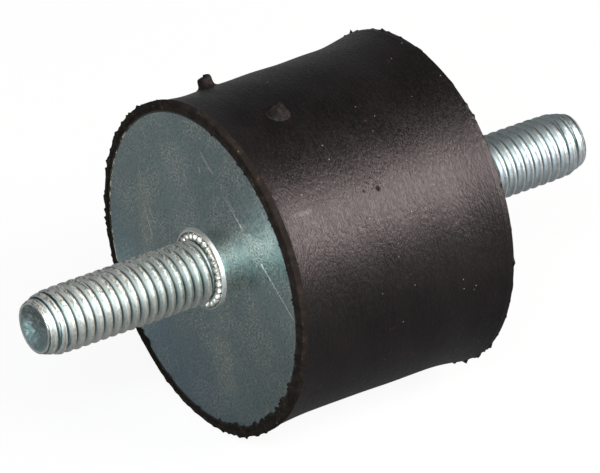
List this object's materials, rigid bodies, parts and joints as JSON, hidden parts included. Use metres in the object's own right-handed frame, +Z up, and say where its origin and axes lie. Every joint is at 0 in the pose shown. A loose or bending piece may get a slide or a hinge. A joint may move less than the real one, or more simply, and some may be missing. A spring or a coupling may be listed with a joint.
{
  "type": "bobbin vibration mount",
  "caption": "Cylindrical rubber-to-metal vibration mount: a waisted rubber block bonded between steel end plates, with a threaded stud standing out of each end.",
  "frame": {"origin": "middle of the rubber, on the axis, halfway between the outer faces of the two end plates", "axes": "+X along the axis from end A (the end with the gate nubs) to end B; +Z up, so the mount lies on its side with its axis level"},
  "size_m": [0.076, 0.0406, 0.0407],
  "materials": {
    "rubber": "moulded natural rubber, brown-black, low sheen",
    "plate_zinc": "zinc-plated steel, pale blue-grey passivated zinc, satin",
    "stud_zinc": "zinc-plated rolled thread, bright"
  },
  "bodies": {
    "root": {"rubber_body": "rubber", "end_plate_a": "plate_zinc", "end_plate_b": "plate_zinc", "stud_a": "stud_zinc", "stud_b": "stud_zinc"}
  },
  "joints": []
}
